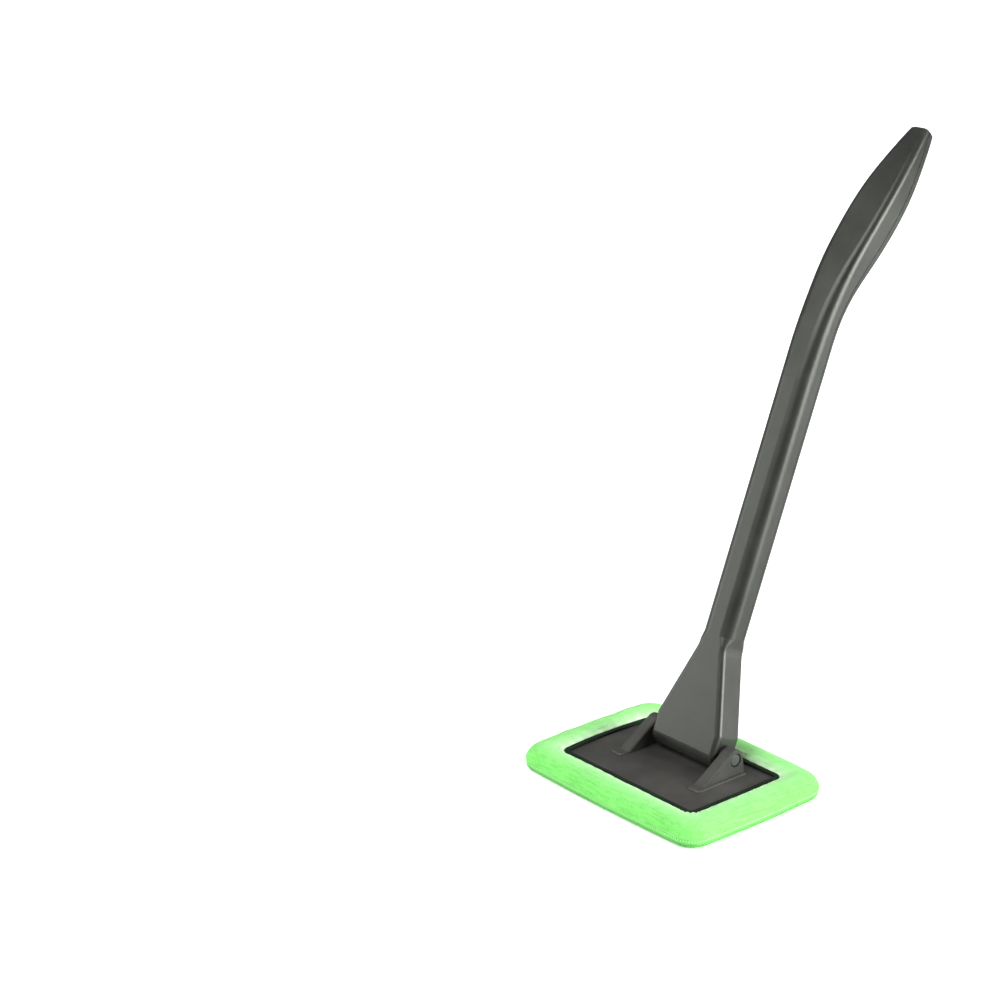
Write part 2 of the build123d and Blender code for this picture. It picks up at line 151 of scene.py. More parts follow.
def outward(loop):
    # Unit normal of a closed loop that runs anticlockwise, from its two neighbours
    along = np.roll(loop, -1, 0) - np.roll(loop, 1, 0)
    normal = np.stack([along[:, 1], -along[:, 0]], 1)
    return normal / np.linalg.norm(normal, axis=1, keepdims=True)


def lengthAlong(loop):
    # Running length from the first point to each point of a closed loop, and its whole length
    steps = np.linalg.norm(np.roll(loop, -1, 0) - loop, axis=1)
    return np.concatenate([[0], np.cumsum(steps)[:-1]]), steps.sum()


def resampled(loop, spacing):
    # The same closed loop with points at equal steps of its length
    place, total = lengthAlong(loop)
    wanted = np.linspace(0, total, int(round(total / spacing)), endpoint=False)
    place, closed = np.append(place, total), np.vstack([loop, loop[:1]])
    return np.stack([np.interp(wanted, place, closed[:, k]) for k in (0, 1)], 1)


def closedCurve(knots, spacing, stepsPerKnot=60):
    # Closed Catmull-Rom curve through the knots, sampled at equal steps of its length
    t = np.linspace(0, 1, stepsPerKnot, endpoint=False)[:, None]
    before, after, beyond = np.roll(knots, 1, 0), np.roll(knots, -1, 0), np.roll(knots, -2, 0)
    pieces = [0.5 * (2 * b + (c - a) * t + (2 * a - 5 * b + 4 * c - d) * t ** 2
                     + (3 * b - a - 3 * c + d) * t ** 3)
              for a, b, c, d in zip(before, knots, after, beyond)]
    return resampled(np.concatenate(pieces), spacing)


def gridQuads(rows, columns, closeRows=True):
    # Index quads of a grid of points: each row is a ring, and with closeRows the last row joins the first
    i = np.arange(rows if closeRows else rows - 1)[:, None]
    j = np.arange(columns)[None, :]
    i, j = np.broadcast_arrays(i, j)
    nextI, nextJ = (i + 1) % rows, (j + 1) % columns
    return np.stack([i * columns + j, nextI * columns + j, nextI * columns + nextJ, i * columns + nextJ],
                    -1).reshape(-1, 4)


def gridNormals(points, rows, columns):
    # Unit normals of a grid closed both ways, from the cross product of its two directions
    grid = points.reshape(rows, columns, 3)
    down = np.roll(grid, -1, 0) - np.roll(grid, 1, 0)
    across = np.roll(grid, -1, 1) - np.roll(grid, 1, 1)
    normal = np.cross(down, across).reshape(-1, 3)
    return normal / np.maximum(np.linalg.norm(normal, axis=1, keepdims=True), 1e-12)


def makePiece(name, points, quads, caps=(), attributes=None, smooth=True):
    # Puts whole arrays into a mesh: quads first, then any caps, each a list of point numbers. Attributes give
    # every point a number
    mesh = bpy.data.meshes.new(name)
    caps = [np.asarray(c) for c in caps]
    corners = np.concatenate([quads.ravel()] + caps).astype(np.int32)
    sizes = np.concatenate([np.full(len(quads), 4), [len(c) for c in caps]]).astype(np.int32)
    mesh.vertices.add(len(points))
    mesh.loops.add(len(corners))
    mesh.polygons.add(len(sizes))
    mesh.vertices.foreach_set("co", np.asarray(points, np.float32).ravel())
    mesh.loops.foreach_set("vertex_index", corners)
    mesh.polygons.foreach_set("loop_start", np.concatenate([[0], np.cumsum(sizes)[:-1]]).astype(np.int32))
    mesh.polygons.foreach_set("loop_total", sizes)
    mesh.polygons.foreach_set("use_smooth", np.full(len(sizes), smooth))
    for label, values in (attributes or {}).items():
        layer = mesh.attributes.new(label, "FLOAT", "POINT")
        layer.data.foreach_set("value", np.asarray(values, np.float32))
    mesh.update()
    mesh.validate()
    piece = bpy.data.objects.new(name, mesh)
    bpy.context.scene.collection.objects.link(piece)
    return piece


# Steps that the materials share. Each returns the socket that carries its result

def newMaterial(name):
    material = bpy.data.materials.new(name)
    material.use_nodes = True
    nodes = material.node_tree.nodes
    return material, nodes, material.node_tree.links, nodes["Principled BSDF"]


def feed(links, socket, value):
    # Gives a socket a number, a colour, or another socket's result
    if isinstance(value, (int, float)):
        socket.default_value = value
    elif isinstance(value, tuple):
        socket.default_value = (*value, 1)
    else:
        links.new(value, socket)


def objectPlace(nodes):
    # Place on the piece in metres
    return nodes.new("ShaderNodeTexCoord").outputs["Object"]


def attributeOf(nodes, name):
    # A number that the piece's mesh holds at each point
    attribute = nodes.new("ShaderNodeAttribute")
    attribute.attribute_name = name
    return attribute.outputs["Fac"]


def noiseOf(nodes, links, size, detail, rough=0.55, stretch=None):
    # Noise on Object coordinates whose features are about size metres across, and drawn out along each axis
    # whose stretch is under 1
    place = objectPlace(nodes)
    if stretch:
        squeeze = nodes.new("ShaderNodeMapping")
        squeeze.inputs["Scale"].default_value = stretch
        links.new(place, squeeze.inputs["Vector"])
        place = squeeze.outputs["Vector"]
    noise = nodes.new("ShaderNodeTexNoise")
    noise.inputs["Scale"].default_value = 1 / size
    noise.inputs["Detail"].default_value = detail
    noise.inputs["Roughness"].default_value = rough
    links.new(place, noise.inputs["Vector"])
    return noise.outputs["Fac"]


def cellsOf(nodes, links, size, feature):
    # Distance to the middle of the nearest cell, on Object coordinates
    cells = nodes.new("ShaderNodeTexVoronoi")
    cells.feature = feature
    cells.inputs["Scale"].default_value = 1 / size
    links.new(objectPlace(nodes), cells.inputs["Vector"])
    return cells.outputs["Distance"]


def mathOf(nodes, links, operation, *values):
    # One sum on numbers or sockets
    step = nodes.new("ShaderNodeMath")
    step.operation = operation
    for socket, value in zip(step.inputs, values):
        feed(links, socket, value)
    return step.outputs["Value"]


def spread(nodes, links, source, low, high, sourceLow=0.0, sourceHigh=1.0):
    # Carries a value from one range to another, and holds it at the ends
    span = nodes.new("ShaderNodeMapRange")
    for label, value in (("Value", source), ("From Min", sourceLow), ("From Max", sourceHigh),
                         ("To Min", low), ("To Max", high)):
        feed(links, span.inputs[label], value)
    return span.outputs["Result"]


def rampOf(nodes, links, source, places, first, second):
    # Runs from the first colour to the second between two values of the source
    ramp = nodes.new("ShaderNodeValToRGB")
    for element, place, colour in zip(ramp.color_ramp.elements, places, (first, second)):
        element.position = place
        element.color = (*colour, 1)
    links.new(source, ramp.inputs["Fac"])
    return ramp.outputs["Color"]


def mixOf(nodes, links, kind, factor, first, second):
    # Colour mix of two colours or sockets, with a number or a socket as its factor. A colour mix has its
    # factor, first and second at inputs 0, 6 and 7, and its result at output 2
    mix = nodes.new("ShaderNodeMix")
    mix.data_type = "RGBA"
    mix.blend_type = kind
    for socket, value in ((mix.inputs[0], factor), (mix.inputs[6], first), (mix.inputs[7], second)):
        feed(links, socket, value)
    return mix.outputs[2]


def bumpOf(nodes, links, layers, shader):
    # Stacks bump nodes on the shader's normal: each layer is (height socket, strength, depth in metres)
    last = None
    for height, strength, depth in layers:
        bump = nodes.new("ShaderNodeBump")
        bump.inputs["Strength"].default_value = strength
        bump.inputs["Distance"].default_value = depth
        links.new(height, bump.inputs["Height"])
        if last:
            links.new(last, bump.inputs["Normal"])
        last = bump.outputs["Normal"]
    links.new(last, shader.inputs["Normal"])


# Terry microfibre. A shade is what a pattern multiplies the colour by at its darkest, and a share how much
terryLook = dict(
    # The face's colours are darker than the border's as painted shade for its band along the floor
    faceShadedDeep=(0.045, 0.30, 0.035), faceShadedTip=(0.17, 0.62, 0.13),
    borderDeep=(0.21, 0.83, 0.155), borderTip=(0.29, 0.94, 0.22), hemPale=(0.76, 0.97, 0.70),
    # A deep colour, on the ground between the loops, is painted shade
    pilePlaces=(0.1, 0.7),
    patch=26 * mm, patchPlaces=(0.35, 0.65), patchShade=(0.86, 0.90, 0.84),
    fibre=0.35 * mm, fibrePlaces=(0.3, 0.7), fibreShade=(0.84, 0.88, 0.82), fibreShare=0.8,
    fibreDepth=0.06 * mm, fibreStrength=0.6,
    streak=1.1 * mm, streakStretch=0.14, streakPlaces=(0.32, 0.60), streakShade=(0.72, 0.84, 0.68),
    streakShare=0.9, tuft=0.85 * mm, tuftDepth=0.20 * mm, tuftStrength=0.5,
    roughness=0.95, gloss=0.15, sheen=0.35, sheenRoughness=0.45, sheenTint=(0.75, 1.0, 0.70),
)


def brushedNoise(nodes, links):
    # Streaks that follow the border round: the runsX attribute is 1 on the sides that run along X. A mix of
    # numbers has its factor, first and second at inputs 0, 2 and 3
    size, stretch = terryLook["streak"], terryLook["streakStretch"]
    choose = nodes.new("ShaderNodeMix")
    links.new(attributeOf(nodes, "runsX"), choose.inputs[0])
    links.new(noiseOf(nodes, links, size, 2, rough=0.5, stretch=(1, stretch, 1)), choose.inputs[2])
    links.new(noiseOf(nodes, links, size, 2, rough=0.5, stretch=(stretch, 1, 1)), choose.inputs[3])
    return choose.outputs[0]


def terryMaterial(name, shadedDeep, tip, pale, paleBy):
    # Colour runs from painted shade on the ground between the loops to their tips, drifts in patches, is
    # darkened by fibres and streaks, and turns pale as far as an attribute says, which holds painted light
    # and shade on the border and the lift out of the face's band of painted shade
    material, nodes, links, shader = newMaterial(name)
    look = terryLook
    patch = noiseOf(nodes, links, look["patch"], 2)
    fibre = noiseOf(nodes, links, look["fibre"], 3, rough=0.7)
    tufts = cellsOf(nodes, links, look["tuft"], "SMOOTH_F1")
    streaks = brushedNoise(nodes, links)
    colour = rampOf(nodes, links, attributeOf(nodes, "pile"), look["pilePlaces"], shadedDeep, tip)
    drift = rampOf(nodes, links, patch, look["patchPlaces"], look["patchShade"], white)
    strand = rampOf(nodes, links, fibre, look["fibrePlaces"], look["fibreShade"], white)
    brushed = rampOf(nodes, links, streaks, look["streakPlaces"], look["streakShade"], white)
    colour = mixOf(nodes, links, "MULTIPLY", 1.0, colour, drift)
    colour = mixOf(nodes, links, "MULTIPLY", look["fibreShare"], colour, strand)
    colour = mixOf(nodes, links, "MULTIPLY", look["streakShare"], colour, brushed)
    colour = mixOf(nodes, links, "MIX", attributeOf(nodes, paleBy), colour, pale)
    for label, value in (("Base Color", colour), ("Roughness", look["roughness"]),
                         ("Specular IOR Level", look["gloss"]), ("Sheen Weight", look["sheen"]),
                         ("Sheen Roughness", look["sheenRoughness"]), ("Sheen Tint", look["sheenTint"])):
        feed(links, shader.inputs[label], value)
    raised = spread(nodes, links, tufts, 1, 0)
    bumpOf(nodes, links, [(raised, look["tuftStrength"], look["tuftDepth"]),
                          (streaks, look["tuftStrength"], look["tuftDepth"]),
                          (fibre, look["fibreStrength"], look["fibreDepth"])], shader)
    return material


threadLook = dict(grooveShade=0.25, tonePlaces=(0.1, 0.6), roughness=0.85, gloss=0.2,
                  fibreStrength=0.5, fibreDepth=0.08 * mm)


def threadMaterial(name, dark, light, pitch, fibreSize):
    # Thread or ribbed tape: the sine of the length run, once round for each pitch, makes bands of painted
    # shade between and painted light on top, and fibres break them up
    material, nodes, links, shader = newMaterial(name)
    look = threadLook
    turns = mathOf(nodes, links, "MULTIPLY", attributeOf(nodes, "run"), 2 * math.pi / pitch)
    ribShading = spread(nodes, links, mathOf(nodes, links, "SINE", turns), look["grooveShade"], 1.0)
    fibre = noiseOf(nodes, links, fibreSize, 3)
    mixed = mathOf(nodes, links, "MULTIPLY", ribShading, fibre)
    tone = rampOf(nodes, links, mixed, look["tonePlaces"], dark, light)
    for label, value in (("Base Color", tone), ("Roughness", look["roughness"]),
                         ("Specular IOR Level", look["gloss"])):
        feed(links, shader.inputs[label], value)
    bumpOf(nodes, links, [(fibre, look["fibreStrength"], look["fibreDepth"])], shader)
    return material


plasticLook = dict(
    cloud=18 * mm, cloudPlaces=(0.3, 0.7), flow=60 * mm, flowDepth=0.10 * mm, flowStrength=0.4,
    grain=0.42 * mm, grainPlaces=(0.35, 0.65), grainShade=(0.82, 0.82, 0.82), grainShare=0.7,
    grainDepth=0.022 * mm, grainStrength=0.5, gloss=0.6, glint=(0.95, 1.0, 0.90),
)


def plasticMaterial(name, dark, light, roughLow, roughHigh):
    # Satin moulded plastic: fine sparked grain, faint clouding of colour and gloss, and slow flow waves
    material, nodes, links, shader = newMaterial(name)
    look = plasticLook
    cloud = noiseOf(nodes, links, look["cloud"], 5)
    grain = noiseOf(nodes, links, look["grain"], 2, rough=0.6)
    flow = noiseOf(nodes, links, look["flow"], 1)
    tone = rampOf(nodes, links, cloud, look["cloudPlaces"], dark, light)
    speck = rampOf(nodes, links, grain, look["grainPlaces"], look["grainShade"], white)
    colour = mixOf(nodes, links, "MULTIPLY", look["grainShare"], tone, speck)
    roughness = spread(nodes, links, cloud, roughLow, roughHigh)
    for label, value in (("Base Color", colour), ("Roughness", roughness),
                         ("Specular IOR Level", look["gloss"]), ("Specular Tint", look["glint"])):
        feed(links, shader.inputs[label], value)
    bumpOf(nodes, links, [(flow, look["flowStrength"], look["flowDepth"]),
                          (grain, look["grainStrength"], look["grainDepth"])], shader)
    return material


steelLook = dict(grain=0.3 * mm, grainPlaces=(0.3, 0.7), shade=0.7, roughSpan=0.2,
                 grainStrength=0.3, grainDepth=0.02 * mm)


def steelMaterial(name, tone, rough):
    # Turned steel with a fine grain in its tone, its gloss and its surface
    material, nodes, links, shader = newMaterial(name)
    look = steelLook
    grain = noiseOf(nodes, links, look["grain"], 5, rough=0.7)
    darker = tuple(look["shade"] * c for c in tone)
    colour = rampOf(nodes, links, grain, look["grainPlaces"], darker, tone)
    roughness = spread(nodes, links, grain, rough, rough + look["roughSpan"])
    for label, value in (("Base Color", colour), ("Metallic", 1), ("Roughness", roughness)):
        feed(links, shader.inputs[label], value)
    bumpOf(nodes, links, [(grain, look["grainStrength"], look["grainDepth"])], shader)
    return material


rubberLook = dict(bloom=1.5 * mm, bloomPlaces=(0.35, 0.75), lighten=2.2, roughness=0.9,
                  bloomStrength=0.3, bloomDepth=0.05 * mm)


def rubberMaterial(name, tone):
    # Dull rubber with a chalky bloom
    material, nodes, links, shader = newMaterial(name)
    look = rubberLook
    bloom = noiseOf(nodes, links, look["bloom"], 4)
    lighter = tuple(look["lighten"] * c for c in tone)
    feed(links, shader.inputs["Base Color"], rampOf(nodes, links, bloom, look["bloomPlaces"], tone, lighter))
    feed(links, shader.inputs["Roughness"], look["roughness"])
    bumpOf(nodes, links, [(bloom, look["bloomStrength"], look["bloomDepth"])], shader)
    return material


foamLook = dict(pore=0.9 * mm, porePlaces=(0.15, 0.5), roughness=1.0, poreStrength=0.8, poreDepth=0.5 * mm)


def foamMaterial(name, shadedDeep, light):
    # Open-cell foam: painted shade in a pore at the middle of each cell, in a pale body
    material, nodes, links, shader = newMaterial(name)
    look = foamLook
    cells = cellsOf(nodes, links, look["pore"], "F1")
    feed(links, shader.inputs["Base Color"], rampOf(nodes, links, cells, look["porePlaces"], shadedDeep, light))
    feed(links, shader.inputs["Roughness"], look["roughness"])
    bumpOf(nodes, links, [(cells, look["poreStrength"], look["poreDepth"])], shader)
    return material


borderTerry = terryMaterial("borderTerry", terryLook["borderDeep"], terryLook["borderTip"],
                            terryLook["hemPale"], "hem")
faceTerry = terryMaterial("faceTerry", terryLook["faceShadedDeep"], terryLook["faceShadedTip"],
                          terryLook["borderTip"], "liftFromShade")
# The elastic is dark, and its near-black colour is also painted shade for the gap at the opening's edge
darkTapeAndGapShade = threadMaterial("darkTapeAndGapShade", (0.004, 0.010, 0.005), (0.020, 0.045, 0.022), 1.1 * mm, 0.5 * mm)
# Pale seam thread, which is also a painted highlight along the border's lower bulge
seamThreadAndHighlight = threadMaterial("seamThreadAndHighlight", (0.22, 0.62, 0.17), (0.64, 0.96, 0.57), 1.5 * mm, 0.4 * mm)
hemThread = threadMaterial("hemThread", (0.58, 0.90, 0.52), (0.84, 0.98, 0.80), 0.7 * mm, 0.4 * mm)
headPlastic = plasticMaterial("headPlastic", (0.042, 0.041, 0.039), (0.075, 0.072, 0.068), 0.36, 0.48)
yokePlastic = plasticMaterial("yokePlastic", (0.021, 0.021, 0.020), (0.036, 0.036, 0.034), 0.32, 0.42)
handlePlastic = plasticMaterial("handlePlastic", (0.017, 0.018, 0.016), (0.030, 0.032, 0.028), 0.32, 0.42)
darkSteel = steelMaterial("darkSteel", (0.20, 0.20, 0.20), 0.35)
brightSteel = steelMaterial("brightSteel", (0.55, 0.55, 0.54), 0.25)
washerRubber = rubberMaterial("washerRubber", (0.015, 0.015, 0.015))
paleFoam = foamMaterial("paleFoam", (0.35, 0.34, 0.28), (0.78, 0.76, 0.66))
print("materials made")

nodeLooks = dict(
    head_plate=headPlastic, yoke=yokePlastic, handle_front_shell=handlePlastic,
    handle_rear_shell=handlePlastic, pivot_pin=darkSteel, pin_cap=darkSteel, neck_screw=brightSteel,
    friction_washer_left=washerRubber, friction_washer_right=washerRubber,
)
for nodeName, look in nodeLooks.items():
    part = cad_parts[nodeName]
    part.data.materials.clear()
    part.data.materials.append(look)
print("plastic, steel and rubber parts dressed")


# Bonnet. Bows are how far the middle of a side stands out, and the opening's go front, right, back, left

outlineHalf = (borderHigh - borderLow) / 2
seamHeight = borderLow.z
plateTop = elasticLow.z
hemGap = 0.15 * mm  # from the opening's edge in to the elastic
openingHalf = (elasticHigh.x + hemGap, elasticHigh.y + hemGap)
bonnet = dict(
    sideBow=1.6 * mm, cornerRadius=11 * mm, faceRadius=3.6 * mm, seamPinch=0.55 * mm, seamGap=0.15 * mm,
    openingRadius=5 * mm, openingBows=(0.2 * mm, 0.3 * mm, 0.2 * mm, 2.2 * mm),
    plateEdge=13.4 * mm, hemLift=0.1 * mm, spacing=0.5 * mm,
    loopPitch=1.5 * mm, loopHeight=0.20 * mm, wave=9 * mm, waveHeight=0.35 * mm,
    gatherPitch=7.5 * mm, gatherHeight=0.16 * mm, gatherReach=6 * mm, gatherWander=1.6, wanderSize=14 * mm,
    hemFade=2.8 * mm, hemCalm=0.85, lipFade=1.5 * mm, lipCalm=0.85,
    tuckDepth=2.5 * mm, tuckFade=2 * mm, sideTuck=2.5 * mm, sideTuckFade=1 * mm,
    # pale lip, painted light and shade on the gathers, and painted light on the border's top and its reach
    hemPaleness=0.55, gatherLightAndShade=0.25, topPaintedLight=0.30, topLightReach=17 * mm,
    faceLoops=0.7, faceDimple=0.25 * mm, faceTuck=0.6 * mm, faceTuckFade=0.4 * mm,
    # painted shade band along the face's bottom edge: its top, its fade, and how far above it the colour
    # lifts
    shadeBandTop=3.0 * mm, shadeBandFade=1.2 * mm, liftFromShadeMost=0.75,
)


def outlineCounts(halfX, halfY, radius):
    # Points on a side along X, on a side along Y and on a corner, at the bonnet's spacing
    step = bonnet["spacing"]
    return (int(2 * (halfX - radius) / step), int(2 * (halfY - radius) / step),
            int(math.pi / 2 * radius / step))


def borderLoops():
    # The outer outline and the opening, with as many points each, so that they pair off
    bow, radius = bonnet["sideBow"], bonnet["cornerRadius"]
    halfX, halfY = outlineHalf.x - bow, outlineHalf.y - bow
    counts = outlineCounts(halfX, halfY, radius)
    outer = roundedLoop(halfX, halfY, radius, (bow,) * 4, counts)
    inner = roundedLoop(*openingHalf, bonnet["openingRadius"], bonnet["openingBows"], counts)
    return outer, inner


def borderProfile(width):
    # Cross-section from the opening's edge (across 0) to the outline (across 1), in (share across, height)
    crown = borderHigh.z
    lip = plateTop + bonnet["hemLift"]
    seam = seamHeight + bonnet["seamGap"]
    pinch = bonnet["seamPinch"] / width
    inside = bonnet["plateEdge"] / width
    rise, drop = crown - lip, lip - seam
    knots = np.array([
        (0.045, lip), (0.0, lip + 0.14 * rise), (0.010, lip + 0.30 * rise),  # thin lip
        (0.070, lip + 0.50 * rise), (0.21, lip + 0.80 * rise),  # rising hem
        (0.42, crown), (0.60, lip + 0.96 * rise), (0.77, lip + 0.72 * rise),  # puffed crown
        (0.90, lip + 0.18 * rise), (0.975, lip - 0.55 * rise), (1.0, seam + 0.30 * drop),  # round shoulder
        (1.0 - 0.35 * pinch, seam + 0.10 * drop), (1.0 - 1.6 * pinch, seam),  # pinched seam
        (inside + 0.03, seam + 0.1 * mm), (inside, seam + 0.5 * mm),  # hidden, along the seam's allowance
        (inside, lip - 0.8 * mm), (inside - 0.05, lip), (0.40, lip),  # hidden, round the plate's edge
    ])
    scale = np.array([width, 1.0])
    return closedCurve(knots * scale, bonnet["spacing"]) / scale


def makeBorder():
    # Each point lies between the opening and the outline by the profile's share, at the profile's height. It
    # is then lifted along its normal by loops, waves and gathers, which fade where the cloth is out of sight
    # and at the lip. Gathers are the sine of the run round the opening, with a soft wander
    outer, inner = borderLoops()
    width = outlineHalf.x - openingHalf[0]
    profile = borderProfile(width)
    rows, columns = len(outer), len(profile)
    share, height = profile[:, 0], profile[:, 1]
    flat = inner[:, None, :] + (outer - inner)[:, None, :] * share[None, :, None]
    points = np.concatenate([flat, np.broadcast_to(height[None, :, None], (rows, columns, 1))], 2)
    points = points.reshape(-1, 3)
    normals = gridNormals(points, rows, columns)
    run, total = lengthAlong(inner)

    across = np.tile(share * width, rows)
    fromEdge = np.clip(across, 0, None)
    above = fadeIn(np.tile(height, rows), plateTop - bonnet["tuckDepth"], bonnet["tuckFade"])
    beside = fadeIn(across, bonnet["plateEdge"] + bonnet["sideTuck"], bonnet["sideTuckFade"])
    shown = np.maximum(above, beside)
    hemShare = np.exp(-fromEdge / bonnet["hemFade"]) * shown
    calm = 1 - bonnet["lipCalm"] * np.exp(-fromEdge / bonnet["lipFade"])

    pile = pileField(points, bonnet["loopPitch"], seeds["borderPile"])
    loops = bonnet["loopHeight"] * (pile - 0.5) * (1 - bonnet["hemCalm"] * hemShare)
    waves = bonnet["waveHeight"] * softField(points, bonnet["wave"], seeds["wave"])
    turns = np.round(total / bonnet["gatherPitch"]) * 2 * math.pi / total
    wander = bonnet["gatherWander"] * softField(points, bonnet["wanderSize"], seeds["gather"])
    gather = np.sin(np.repeat(run, columns) * turns + wander)
    gathers = bonnet["gatherHeight"] * gather * np.exp(-fromEdge / bonnet["gatherReach"])
    points = points + normals * ((loops + waves + gathers) * shown * calm)[:, None]

    # Pale lip; painted light on gather crests, shade in troughs; painted light on the top, fading outwards
    paleLipAndPaintedLight = (bonnet["hemPaleness"] + bonnet["gatherLightAndShade"] * gather) * hemShare
    paleLipAndPaintedLight += bonnet["topPaintedLight"] * np.clip(1 - across / bonnet["topLightReach"], 0, 1)
    runsX = np.repeat(outward(inner)[:, 1] ** 2, columns)
    piece = makePiece("bonnet_border_cloth", points, gridQuads(rows, columns),
                      attributes=dict(pile=pile, hem=paleLipAndPaintedLight, runsX=runsX))
    piece.data.materials.append(borderTerry)
    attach(piece, "head")
    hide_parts("bonnet_border")
    return outer, inner


outerLoop, innerLoop = makeBorder()
print("bonnet border made")


def slabArrays(halfX, halfY, radius, bow, spacing, rise):
    # Flat field of a rounded rectangle as a grid, its corners turned from square to round, then rows that
    # climb its edge: rise gives (outward, upward) for each row. The last row is closed by one cap. The last
    # number given back is how many points the field has
    columns, rows = int(2 * halfX / spacing) + 1, int(2 * halfY / spacing) + 1
    x, y = np.meshgrid(np.linspace(-halfX, halfX, columns), np.linspace(-halfY, halfY, rows))
    a = np.clip((np.abs(x) - (halfX - radius)) / radius, 0, 1)
    b = np.clip((np.abs(y) - (halfY - radius)) / radius, 0, 1)
    x = np.sign(x) * (np.abs(x) - radius * a * (1 - np.sqrt(1 - b ** 2 / 2)))
    y = np.sign(y) * (np.abs(y) - radius * b * (1 - np.sqrt(1 - a ** 2 / 2)))
    bowX = bow * x / halfX * (1 - (y / halfY) ** 2)
    bowY = bow * y / halfY * (1 - (x / halfX) ** 2)
    field = np.stack([x + bowX, y + bowY, np.zeros_like(x)], -1).reshape(-1, 3)
    number = np.arange(rows * columns).reshape(rows, columns)
    rim = np.concatenate([number[0, :-1], number[:-1, -1], number[-1, :0:-1], number[:0:-1, 0]])
    edge = field[rim]
    out = outward(edge[:, :2])
    climbs = [np.concatenate([edge[:, :2] + out * o, np.full((len(edge), 1), u)], 1) for o, u in rise]
    points = np.concatenate([field] + climbs)
    under = number[:-1, :-1].ravel()
    fieldQuads = np.stack([under, under + columns, under + columns + 1, under + 1], 1)
    climbNumbers = [len(field) + k * len(rim) + np.arange(len(rim)) for k in range(len(rise))]
    levels = np.concatenate([rim] + climbNumbers)
    sides = levels[gridQuads(len(rise) + 1, len(rim), closeRows=False)][:, ::-1]
    return points, np.concatenate([fieldQuads, sides]), levels[-len(rim):], len(field)


def quarterRise(radius, spacing):
    # Quarter circle from the flat field out to the side, in at least three steps
    steps = max(3, int(math.pi / 2 * radius / spacing))
    turn = np.linspace(0, math.pi / 2, steps + 1)[1:]
    return [(radius * math.sin(t), radius * (1 - math.cos(t))) for t in turn]


def makeFace():
    # Flat cloth whose edge turns up round a quarter circle to the pinched seam. It is hollowed between its
    # loops and in slow dimples: straight up under the field, and sideways on the turned-up edge
    bow, edge, pinch = bonnet["sideBow"], bonnet["faceRadius"], bonnet["seamPinch"]
    top = seamHeight - bonnet["seamGap"]
    rise = quarterRise(edge, bonnet["spacing"])
    wall = top - edge
    rise += [(edge, edge + 0.35 * wall), (edge - 0.35 * pinch, edge + 0.75 * wall),  # side, up to the seam
             (edge - 1.6 * pinch, top), (edge - 5 * pinch, top), (0, top - 0.2 * mm)]  # hidden
    halfX, halfY = outlineHalf.x - bow - edge, outlineHalf.y - bow - edge
    slab = slabArrays(halfX, halfY, bonnet["cornerRadius"] - edge, bow, bonnet["spacing"], rise)
    points, quads, cap = slab[:3]

    pile = pileField(points, bonnet["loopPitch"], seeds["facePile"])
    dimples = 0.5 + 0.5 * softField(points, bonnet["wave"], seeds["faceWave"])
    hollow = bonnet["loopHeight"] * (1 - pile) * bonnet["faceLoops"] + bonnet["faceDimple"] * dimples
    climb = np.clip(points[:, 2] / edge, 0, 1)
    hidden = fadeIn(points[:, 2], top - bonnet["faceTuck"], bonnet["faceTuckFade"])
    side = points * np.array([1, 1, 0])
    side /= np.maximum(np.linalg.norm(side, axis=1, keepdims=True), 1e-9)
    inward = np.array([0, 0, 1.0]) * (1 - climb)[:, None] - side * climb[:, None]
    points = points + inward * (hollow * (1 - hidden))[:, None]

    # Painted shade: the face keeps its dark colours up to the band's top, then turns towards the border's
    # colour
    liftFromShade = bonnet["liftFromShadeMost"] * fadeIn(points[:, 2], bonnet["shadeBandTop"], bonnet["shadeBandFade"])
    runsX = (np.abs(points[:, 1]) / halfY > np.abs(points[:, 0]) / halfX).astype(float)
    piece = makePiece("bonnet_face_cloth", points, quads, caps=[cap],
                      attributes=dict(pile=pile, liftFromShade=liftFromShade, runsX=runsX))
    piece.data.materials.append(faceTerry)
    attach(piece, "head")
    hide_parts("bonnet_face")


makeFace()
print("bonnet face made")


# Hem, stitches and seam

def roundedSection(width, height, power, sides):
    # Superellipse: each coordinate is the sine or cosine to the power of two over the exponent
    t = np.linspace(0, 2 * math.pi, sides, endpoint=False)
    c, s = np.cos(t), np.sin(t)
    return np.stack([width / 2 * np.sign(c) * np.abs(c) ** (2 / power),
                     height / 2 * np.sign(s) * np.abs(s) ** (2 / power)], 1)


def sweptRing(name, loop, profile, height, look, ribPitch, ribHeight):
    # A closed section carried round a closed loop, each section point (outward, upward) from the loop, then
    # ribbed along its normals by the sine of the length run
    out = outward(loop)
    rows, columns = len(loop), len(profile)
    flat = loop[:, None, :] + out[:, None, :] * profile[None, :, :1]
    tall = np.broadcast_to(profile[None, :, 1:], (rows, columns, 1)) + height
    points = np.concatenate([flat, tall], 2).reshape(-1, 3)
    place, total = lengthAlong(loop)
    run = np.repeat(place, columns)
    turns = np.round(total / ribPitch) * 2 * math.pi / total
    points += gridNormals(points, rows, columns) * (ribHeight * np.sin(run * turns))[:, None]
    piece = makePiece(name, points, gridQuads(rows, columns), attributes=dict(run=run))
    piece.data.materials.append(look)
    return piece


elastic = dict(width=3.0 * mm, height=1.4 * mm, round=3.0, spacing=0.28 * mm, sides=26,
               ribPitch=1.15 * mm, ribHeight=0.07 * mm, lift=0.05 * mm)


